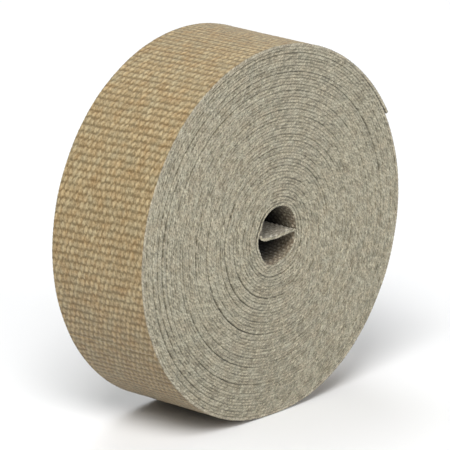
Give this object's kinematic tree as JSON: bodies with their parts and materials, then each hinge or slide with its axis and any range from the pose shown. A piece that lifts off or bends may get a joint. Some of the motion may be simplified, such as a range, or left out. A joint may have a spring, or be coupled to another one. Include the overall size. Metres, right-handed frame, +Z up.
{
  "type": "roll of woven exhaust heat wrap",
  "caption": "Roll of woven glass-fibre heat wrap for exhaust pipes, a long flat strip wound on itself round an open bore, its inner end lying across the bore.",
  "frame": {"origin": "bottom centre of the roll's bounding box as the roll stands on its rim", "axes": "+Y along the roll's axis, away from the end face that the picture shows; +Z up; +X to the right of that face"},
  "size_m": [0.158, 0.0508, 0.1593],
  "materials": {
    "woven_strip": "matt woven glass fibre, golden tan on the rim and greyer on the ends"
  },
  "bodies": {
    "root": {"wrap_roll": "woven_strip"}
  },
  "joints": []
}
